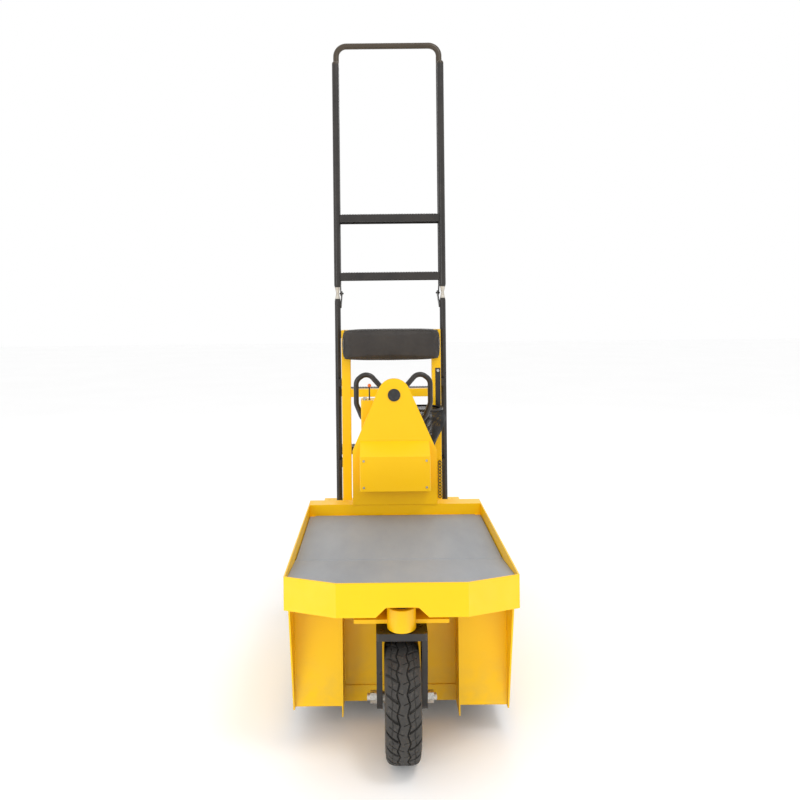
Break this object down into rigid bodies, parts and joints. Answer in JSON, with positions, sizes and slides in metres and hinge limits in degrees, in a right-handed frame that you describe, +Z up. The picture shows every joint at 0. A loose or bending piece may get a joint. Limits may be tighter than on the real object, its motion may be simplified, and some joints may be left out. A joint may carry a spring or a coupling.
{
  "type": "stand-up electric order picking truck",
  "caption": "Three-wheel stand-up electric warehouse truck with a front cargo deck, a steering tower with loop handles, a padded backrest and a folding rear ladder.",
  "frame": {"origin": "on the floor under the middle of the truck", "axes": "+Z up, the truck drives towards -Y, +X across it"},
  "size_m": [0.8, 1.9099, 3.12],
  "materials": {
    "yellow_paint": "semi-gloss powder coat",
    "black_paint": "satin powder coat",
    "grey_mat": "fine-ribbed grey deck mat",
    "black_mat": "ribbed floor mat",
    "tyre_rubber": "matte tread rubber",
    "rim_paint": "satin paint",
    "zinc": "zinc plated",
    "vinyl": "grained vinyl",
    "black_plastic": "moulded",
    "orange_plastic": "moulded",
    "red_plastic": "moulded",
    "mesh": "woven wire mesh, black",
    "battery_case": "moulded case",
    "cast_housing": "painted casting",
    "rubber": "moulded"
  },
  "bodies": {
    "chassis": {"front_band": "yellow_paint", "side_bands": "yellow_paint", "side_skirts": "yellow_paint", "rear_ledge": "yellow_paint", "front_bulkhead": "yellow_paint", "nose_ramp": "yellow_paint", "nose_mat": "grey_mat", "chassis_frame": "black_paint", "batteries": "battery_case", "motor_controller": "cast_housing", "head_collar": "yellow_paint", "steering_bearings": "zinc", "steering_chain": "zinc", "tower_plate": "yellow_paint", "tower_plug": "black_plastic", "tower_cover": "yellow_paint", "column_cowl": "yellow_paint", "platform_plate": "yellow_paint", "platform_mat": "black_mat", "pedal_brackets": "zinc", "transaxle": "cast_housing", "drive_motor": "cast_housing", "drive_cover": "yellow_paint", "rear_deck": "yellow_paint", "fenders": "yellow_paint", "rear_bumper": "rubber", "backrest_posts": "yellow_paint", "crossbar": "yellow_paint", "backrest_board": "black_paint", "backrest_pad": "vinyl", "ladder_rails": "black_paint", "lower_treads": "black_paint", "mesh_basket": "mesh", "basket_hanger": "black_paint", "safety_chain": "black_paint", "screw_heads": "zinc"},
    "lid": {"deck_lid": "yellow_paint", "deck_mat": "grey_mat"},
    "column": {"column_shaft": "zinc", "control_head": "yellow_paint", "loop_handles": "black_paint"},
    "lever": {"direction_lever": "orange_plastic"},
    "key": {"start_key": "zinc"},
    "horn": {"horn_button": "red_plastic"},
    "throttle": {"throttle_paddle": "black_plastic"},
    "fork": {"fork_crown": "black_paint", "fork_legs": "black_paint", "front_axle": "zinc", "axle_nuts": "zinc"},
    "front_wheel": {"front_tyre": "tyre_rubber", "front_rim": "rim_paint"},
    "rear_left_wheel": {"rear_left_tyre": "tyre_rubber", "rear_left_rim": "rim_paint"},
    "rear_right_wheel": {"rear_right_tyre": "tyre_rubber", "rear_right_rim": "rim_paint"},
    "brake": {"brake_pedal": "black_paint"},
    "presence": {"presence_pedal": "black_paint"},
    "upper_ladder": {"ladder_tubes": "black_paint", "hand_hoop": "black_paint", "fold_treads": "black_paint"}
  },
  "joints": [
    {"name": "steer_column", "type": "hinge", "parent": "chassis", "child": "column", "pos_m": [0, 0.2, 0.9], "axis": [0, 0, 1], "range_deg": [-40, 40]},
    {"name": "fork_steer", "type": "hinge", "parent": "chassis", "child": "fork", "pos_m": [0, -0.7905, 0.5], "axis": [0, 0, 1], "range_deg": [-60, 60]},
    {"name": "front_wheel_spin", "type": "hinge", "parent": "fork", "child": "front_wheel", "pos_m": [0, -0.7505, 0.2045], "axis": [1, 0, 0], "continuous": true},
    {"name": "rear_left_spin", "type": "hinge", "parent": "chassis", "child": "rear_left_wheel", "pos_m": [-0.33, 0.68, 0.2045], "axis": [1, 0, 0], "continuous": true},
    {"name": "rear_right_spin", "type": "hinge", "parent": "chassis", "child": "rear_right_wheel", "pos_m": [0.33, 0.68, 0.2045], "axis": [1, 0, 0], "continuous": true},
    {"name": "lid_lift", "type": "hinge", "parent": "chassis", "child": "lid", "pos_m": [0, 0.0305, 0.606], "axis": [-1, 0, 0], "range_deg": [0, 50]},
    {"name": "ladder_fold", "type": "hinge", "parent": "chassis", "child": "upper_ladder", "pos_m": [0, 0.925, 1.659], "axis": [-1, 0, 0], "range_deg": [0, 170]},
    {"name": "lever_tilt", "type": "hinge", "parent": "column", "child": "lever", "pos_m": [-0.116, 0.2, 1.113], "axis": [1, 0, 0], "range_deg": [-20, 20]},
    {"name": "key_turn", "type": "hinge", "parent": "column", "child": "key", "pos_m": [-0.137, 0.18, 1.13], "axis": [0, 0, 1], "range_deg": [0, 60]},
    {"name": "horn_press", "type": "slide", "parent": "column", "child": "horn", "axis": [0, -1, 0], "range_m": [0, 0.004], "stiffness_N_per_m": 800, "springref_m": -0.002},
    {"name": "throttle_press", "type": "hinge", "parent": "column", "child": "throttle", "pos_m": [0.035, 0.29, 1.015], "axis": [1, 0, 0], "range_deg": [0, 20], "stiffness_Nm_per_rad": 0.3, "springref_deg": -17.19},
    {"name": "brake_press", "type": "hinge", "parent": "chassis", "child": "brake", "pos_m": [-0.15, 0.175, 0.195], "axis": [-1, 0, 0], "range_deg": [0, 8], "stiffness_Nm_per_rad": 6, "springref_deg": -17.19},
    {"name": "presence_press", "type": "hinge", "parent": "chassis", "child": "presence", "pos_m": [0.15, 0.175, 0.195], "axis": [-1, 0, 0], "range_deg": [0, 8], "stiffness_Nm_per_rad": 6, "springref_deg": -17.19}
  ],
  "couplings": [
    {"joint": "fork_steer", "follows": "steer_column", "ratio": 1.5}
  ]
}
